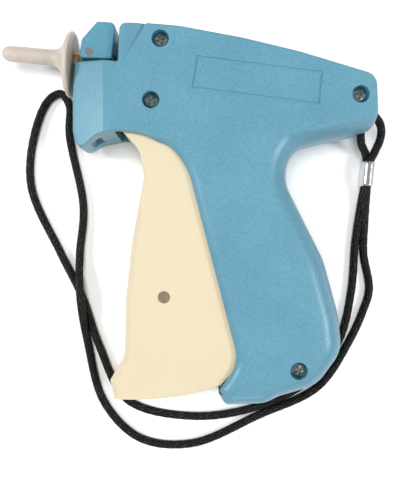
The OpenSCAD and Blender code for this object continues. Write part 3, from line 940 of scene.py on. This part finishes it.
def screws(material):
    """One screw, repeated at each counterbore with its cross turned differently."""
    top = HEAD_Z + HEAD_PROFILE[-1][1]
    recess = loft([level_ring(cross_outline(arm, half), top + z) for arm, half, z in RECESS_LEVELS])
    one = new_object("screw_shell", *screw_mesh())
    cut(one, [recess])
    joined = bmesh.new()
    for k, (x, y) in enumerate(SCREWS):
        copy = one.data.copy()
        turn = Matrix.Rotation(math.radians(FIRST_TURN + TURN_STEP * k), 4, "Z")
        copy.transform(Matrix.Translation((x * MM, y * MM, 0)) @ turn)
        joined.from_mesh(copy)
        bpy.data.meshes.remove(copy)
    joined.to_mesh(one.data)
    joined.free()
    return place(one, "casing", material, "casing_screws")


# ---- lanyard ----
CURVE_STEPS = 40
RING_SPACING = 0.32
CORD_SIDES = 32
STRANDS = 4
PITCH = 3.8
# The share of the cord's radius that its strands stand out by.
STRAND_RELIEF = 0.18
FERRULE_LOW = 2.5
FERRULE_HIGH = 5.5
FERRULE_R = 2.37
FERRULE_RINGS = 37
FERRULE_SIDES = 48
LIP = 0.25
PRESS = 0.03
# Places and widths along the ferrule, as shares of its length.
LIP_WIDTH = 1 / 18
PRESS_AT = (0.3, 0.7)
PRESS_WIDTH = 0.07
WAIST = 0.05
WAIST_WIDTH = 0.35
FACETS = 5
FACET_DEPTH = 0.02
FACET_TURN = 0.6
PATH_STEP = 4


def smooth_route(points, spacing):
    """The route's points joined by the same curve as the CAD tube, in even steps."""
    p = [np.array(q, float) for q in points]
    fine = []
    for i in range(len(p) - 1):
        a, b, c, d = p[max(i - 1, 0)], p[i], p[i + 1], p[min(i + 2, len(p) - 1)]
        ab = math.sqrt(np.linalg.norm(b - a) + 0.01)
        bc = math.sqrt(np.linalg.norm(c - b))
        cd = math.sqrt(np.linalg.norm(d - c) + 0.01)
        m = (c - b) + bc * ((b - a) / ab - (c - a) / (ab + bc))
        n = (c - b) + bc * ((d - c) / cd - (d - b) / (bc + cd))
        for k in range(CURVE_STEPS):
            t = k / CURVE_STEPS
            fine.append(b + m * t + (3 * (c - b) - 2 * m - n) * t * t + (2 * (b - c) + m + n) * t**3)
    fine.append(p[-1])
    fine = np.array(fine)
    along = np.concatenate([[0], np.cumsum(np.linalg.norm(np.diff(fine, axis=0), axis=1))])
    count = int(round(along[-1] / spacing))
    at = np.linspace(0, along[-1], count + 1)
    return np.column_stack([np.interp(at, along, fine[:, k]) for k in range(3)]), along[-1]


def ferrule(material):
    """A flattened sleeve round both passes of the cord.

    It is slightly waisted, with five shallow facets and two faint pressed bands.
    """
    a, b = np.array(FERRULE_TOP), np.array(FERRULE_BOTTOM)
    way = (b - a) / np.linalg.norm(b - a)
    side = np.array([-way[1], way[0]])
    middle = (FERRULE_LOW + FERRULE_HIGH) / 2
    half = (FERRULE_HIGH - FERRULE_LOW) / 2
    turns = (np.arange(FERRULE_SIDES) + 0.5) * 2 * math.pi / FERRULE_SIDES
    rings = []
    for t in np.linspace(0, 1, FERRULE_RINGS):
        lip = LIP * max(0, 1 - min(t, 1 - t) / LIP_WIDTH)
        press = PRESS * sum(math.exp(-((t - c) / PRESS_WIDTH) ** 2) for c in PRESS_AT)
        size = FERRULE_R - lip - press
        facet = 1 - FACET_DEPTH * (1 - np.cos(FACETS * turns + FACET_TURN)) / 2
        across = size * facet * np.cos(turns)
        waist = 1 - WAIST * np.exp(-(np.sin(turns) / WAIST_WIDTH) ** 2)
        tall = np.sign(np.sin(turns)) * half + size * np.sin(turns)
        spot = a + way * t * np.linalg.norm(b - a)
        x = spot[0] + side[0] * across * waist
        y = spot[1] + side[1] * across * waist
        rings.append(np.column_stack([x, y, middle + tall]))
    piece = new_object("ferrule_shell", *loft(rings))
    for z in (FERRULE_LOW, FERRULE_HIGH):
        cut(piece, [rod((*(a - way), z), (*(b + way), z), CORD_D / 2 + 0.1)])
    return place(piece, "casing", material, "lanyard_ferrule", smooth_angle=30)


def lanyard(material, sleeve):
    """A round braid: two sets of helical strands that pass over and under each other."""
    line, length = smooth_route(CORD_ROUTE, RING_SPACING)
    way = np.gradient(line, axis=0)
    way /= np.linalg.norm(way, axis=1)[:, None]
    across = np.cross(way, (0, 0, 1))
    across /= np.linalg.norm(across, axis=1)[:, None]
    up = np.cross(across, way)
    angle = np.arange(CORD_SIDES) * 2 * math.pi / CORD_SIDES
    along = np.arange(len(line)) * (length / (len(line) - 1))
    turn, run = np.meshgrid(angle, along)
    left = STRANDS * turn + math.pi * run / PITCH
    right = STRANDS * turn - math.pi * run / PITCH
    over = (np.floor(left / math.pi) + np.floor(right / math.pi)) % 2 == 0
    ridge = np.where(over, np.abs(np.sin(left)), np.abs(np.sin(right)))
    radius = CORD_D / 2 * (1 - STRAND_RELIEF + STRAND_RELIEF * ridge)
    ring = (
        line[:, None, :]
        + (radius * np.cos(turn))[:, :, None] * across[:, None, :]
        + (radius * np.sin(turn))[:, :, None] * up[:, None, :]
    )
    cord = new_object("lanyard_weave", *loft(ring), 60)
    # The strands' ridge height, which the braid material turns into painted highlight on the crests and
    # painted shade in the valleys.
    strand = cord.data.attributes.new("strand", "FLOAT", "POINT")
    strand.data.foreach_set("value", ridge.ravel().astype(np.float32))
    place(cord, "casing", material, "lanyard_cord", smooth_angle=60)
    path = [Vector(p) * MM for p in line[::PATH_STEP]]
    path.append(Vector(line[-1]) * MM)


# ---- the scene ----
camera()
studio()
floor()
CASING_BLUE = moulded(
    "casing_plastic", (0.093, 0.245, 0.332), (0.13, 0.318, 0.415),
    rough=0.35, grain_mm=0.55, depth_mm=0.05, speckle=0.65, specular=0.46,
)
CAP_BLUE = moulded(
    "lock_plastic", (0.08, 0.238, 0.32), (0.112, 0.303, 0.4),
    rough=0.38, grain_mm=0.55, depth_mm=0.05, speckle=0.65, specular=0.4,
)
CREAM = moulded(
    "trigger_plastic", (0.63, 0.55, 0.388), (0.66, 0.578, 0.41),
    rough=0.4, grain_mm=1.2, depth_mm=0.006,
)
GUARD_WHITE = nylon("guard_plastic", (0.50, 0.445, 0.385), (0.54, 0.485, 0.42))
INNER_WHITE = moulded(
    "inner_plastic", (0.55, 0.55, 0.53), (0.6, 0.6, 0.57),
    rough=0.4, grain_mm=1.0, depth_mm=0.01,
)
RUBBER = moulded(
    "rubber", (0.02, 0.02, 0.02), (0.03, 0.03, 0.03),
    rough=0.8, grain_mm=0.5, depth_mm=0.02,
)
STEEL = metal("steel", (0.5, 0.5, 0.51), (0.62, 0.62, 0.63), rough=0.3)
# Grey steel, with a teal tint that is a painted reflection of the blue counterbore walls round the heads.
SCREW_STEEL = metal("screw_steel", (0.3, 0.38, 0.36), (0.68, 0.74, 0.7), rough=0.3)
PIN_METAL = metal("pin_metal", (0.52, 0.43, 0.3), (0.66, 0.55, 0.4), rough=0.5)
FERRULE = metal("ferrule_metal", (0.74, 0.71, 0.68), (0.8, 0.77, 0.74), rough=0.32, scratch=0.0)
LOCK_PIN_METAL = metal("lock_pin_metal", (0.42, 0.42, 0.44), (0.5, 0.48, 0.49), rough=0.5)
BRASS = metal("brass", (0.6, 0.38, 0.16), (0.72, 0.5, 0.24), rough=0.3)
CORD = woven("cord_fabric")
SLOT_MATERIALS = {
    "casing_plastic": CASING_BLUE, "trigger_plastic": CREAM, "guard_plastic": GUARD_WHITE,
    "inner_plastic": INNER_WHITE, "rubber": RUBBER, "steel": STEEL, "screw_steel": SCREW_STEEL,
    "pin_metal": PIN_METAL, "ferrule_metal": FERRULE, "brass": BRASS, "cord_fabric": CORD,
}
# The lock pins are greyer than the other pins in their slot.
NODE_MATERIALS = {"lock_pins": LOCK_PIN_METAL}
for part in frame["record"]["subparts"]:
    name = part["node"]
    mesh = frame["nodes"][name].data
    mesh.materials.clear()
    mesh.materials.append(NODE_MATERIALS.get(name, SLOT_MATERIALS[part["material_slot"]]))

lanyard(CORD, ferrule(FERRULE))
casing("left_casing_shell", "left_casing", 1, CASING_BLUE)
casing("right_casing_shell", "right_casing", -1, CASING_BLUE)
trigger(CREAM)
needle_lock_cap(CAP_BLUE)
needle_guard(GUARD_WHITE)
screws(SCREW_STEEL)
